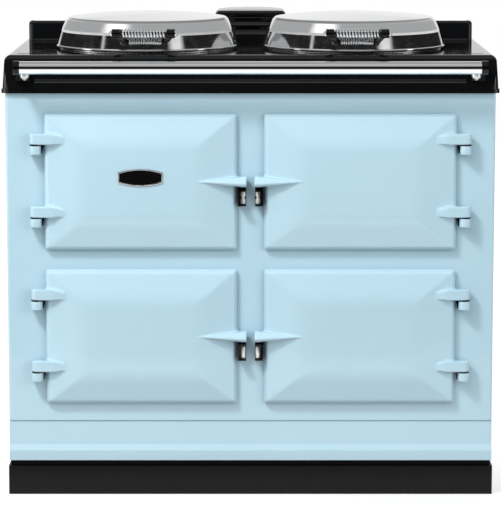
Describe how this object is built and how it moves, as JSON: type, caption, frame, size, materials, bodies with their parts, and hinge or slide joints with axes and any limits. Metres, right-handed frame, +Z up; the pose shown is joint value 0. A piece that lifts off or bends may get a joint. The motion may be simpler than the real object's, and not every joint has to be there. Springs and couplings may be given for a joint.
{
  "type": "cast iron range cooker",
  "caption": "Free-standing enamelled cast iron range cooker with side-hinged oven doors, domed lids over round hotplates, a chrome handrail, a rear vent housing and a dark plinth.",
  "frame": {"origin": "on the floor under the middle of the plinth", "axes": "+X to the right of someone facing the doors, -Y out of the front, +Z up"},
  "size_m": [1, 0.776, 0.975],
  "materials": {
    "blue_enamel": "gloss",
    "black_enamel": "gloss",
    "plinth_black": "satin",
    "chrome": "polished",
    "black_bracket": "satin",
    "cast_iron": "matte",
    "oven_iron": "satin",
    "bright_steel": "satin",
    "zinc_steel": "satin",
    "aluminium_plug": "satin",
    "rope_seal": "matte",
    "mineral_wool": "matte",
    "black_plastic": "matte",
    "knob_black": "gloss",
    "switch_grey": "matte",
    "badge_black": "gloss"
  },
  "bodies": {
    "range": {"plinth": "plinth_black", "levelling_feet": "zinc_steel", "base_frame": "plinth_black", "lower_panel": "blue_enamel", "front_plate": "blue_enamel", "side_panel_left": "blue_enamel", "side_panel_right": "blue_enamel", "rear_panel": "zinc_steel", "panel_screws": "zinc_steel", "cable_gland": "black_plastic", "top_plate": "black_enamel", "hob_discs": "black_enamel", "vent_housing": "black_enamel", "vent_duct": "zinc_steel", "hotplate_left": "cast_iron", "hotplate_right": "cast_iron", "hotplate_rings": "bright_steel", "hotplate_supports": "zinc_steel", "heating_elements": "oven_iron", "roasting_oven": "oven_iron", "baking_oven": "oven_iron", "simmering_oven": "oven_iron", "oven_shelves": "chrome", "insulation": "mineral_wool", "control_box": "oven_iron", "control_fascia": "black_bracket", "control_switches": "switch_grey", "handrail": "chrome", "rail_brackets": "black_bracket", "rail_bosses": "chrome", "door_seals": "rope_seal", "hinge_brackets": "blue_enamel", "hinge_pins": "bright_steel", "catch_brackets": "black_bracket", "lid_hinge_blocks": "black_bracket"},
    "top_left_door": {"door_top_left": "blue_enamel", "liner_top_left": "aluminium_plug", "badge_plate": "badge_black", "badge_rim": "chrome"},
    "top_right_door": {"door_top_right": "blue_enamel", "liner_top_right": "aluminium_plug"},
    "bottom_left_door": {"door_bottom_left": "blue_enamel", "liner_bottom_left": "aluminium_plug"},
    "bottom_right_door": {"door_bottom_right": "blue_enamel", "liner_bottom_right": "aluminium_plug"},
    "left_lid": {"lid_left_shell": "chrome", "lid_left_liner": "aluminium_plug", "lid_left_handle": "chrome", "lid_left_brackets": "black_bracket"},
    "right_lid": {"lid_right_shell": "chrome", "lid_right_liner": "aluminium_plug", "lid_right_handle": "chrome", "lid_right_brackets": "black_bracket"},
    "top_left_roller": {"roller_top_left": "chrome"},
    "top_right_roller": {"roller_top_right": "chrome"},
    "bottom_left_roller": {"roller_bottom_left": "chrome"},
    "bottom_right_roller": {"roller_bottom_right": "chrome"},
    "left_knob": {"knob_left": "knob_black"},
    "middle_knob": {"knob_middle": "knob_black"},
    "right_knob": {"knob_right": "knob_black"}
  },
  "joints": [
    {"name": "top_left_door_hinge", "type": "hinge", "parent": "range", "child": "top_left_door", "pos_m": [-0.4315, -0.359, 0.6451], "axis": [0, 0, -1], "range_deg": [0, 150]},
    {"name": "top_right_door_hinge", "type": "hinge", "parent": "range", "child": "top_right_door", "pos_m": [0.4315, -0.359, 0.6451], "axis": [0, 0, 1], "range_deg": [0, 150]},
    {"name": "bottom_left_door_hinge", "type": "hinge", "parent": "range", "child": "bottom_left_door", "pos_m": [-0.4315, -0.359, 0.3296], "axis": [0, 0, -1], "range_deg": [0, 150]},
    {"name": "bottom_right_door_hinge", "type": "hinge", "parent": "range", "child": "bottom_right_door", "pos_m": [0.4315, -0.359, 0.3296], "axis": [0, 0, 1], "range_deg": [0, 150]},
    {"name": "left_lid_hinge", "type": "hinge", "parent": "range", "child": "left_lid", "pos_m": [-0.214, 0.121, 0.94], "axis": [-1, 0, 0], "range_deg": [0, 97]},
    {"name": "right_lid_hinge", "type": "hinge", "parent": "range", "child": "right_lid", "pos_m": [0.214, 0.121, 0.94], "axis": [-1, 0, 0], "range_deg": [0, 97]},
    {"name": "top_left_roller_spin", "type": "hinge", "parent": "range", "child": "top_left_roller", "pos_m": [-0.0155, -0.3539, 0.6174], "axis": [0, 0, 1], "continuous": true},
    {"name": "top_right_roller_spin", "type": "hinge", "parent": "range", "child": "top_right_roller", "pos_m": [0.0155, -0.3539, 0.6174], "axis": [0, 0, 1], "continuous": true},
    {"name": "bottom_left_roller_spin", "type": "hinge", "parent": "range", "child": "bottom_left_roller", "pos_m": [-0.0155, -0.3539, 0.3019], "axis": [0, 0, 1], "continuous": true},
    {"name": "bottom_right_roller_spin", "type": "hinge", "parent": "range", "child": "bottom_right_roller", "pos_m": [0.0155, -0.3539, 0.3019], "axis": [0, 0, 1], "continuous": true},
    {"name": "left_knob_turn", "type": "hinge", "parent": "range", "child": "left_knob", "pos_m": [-0.3165, -0.229, 0.6451], "axis": [0, 1, 0], "range_deg": [0, 270]},
    {"name": "middle_knob_turn", "type": "hinge", "parent": "range", "child": "middle_knob", "pos_m": [-0.2205, -0.229, 0.6451], "axis": [0, 1, 0], "range_deg": [0, 270]},
    {"name": "right_knob_turn", "type": "hinge", "parent": "range", "child": "right_knob", "pos_m": [-0.1245, -0.229, 0.6451], "axis": [0, 1, 0], "range_deg": [0, 270]}
  ]
}
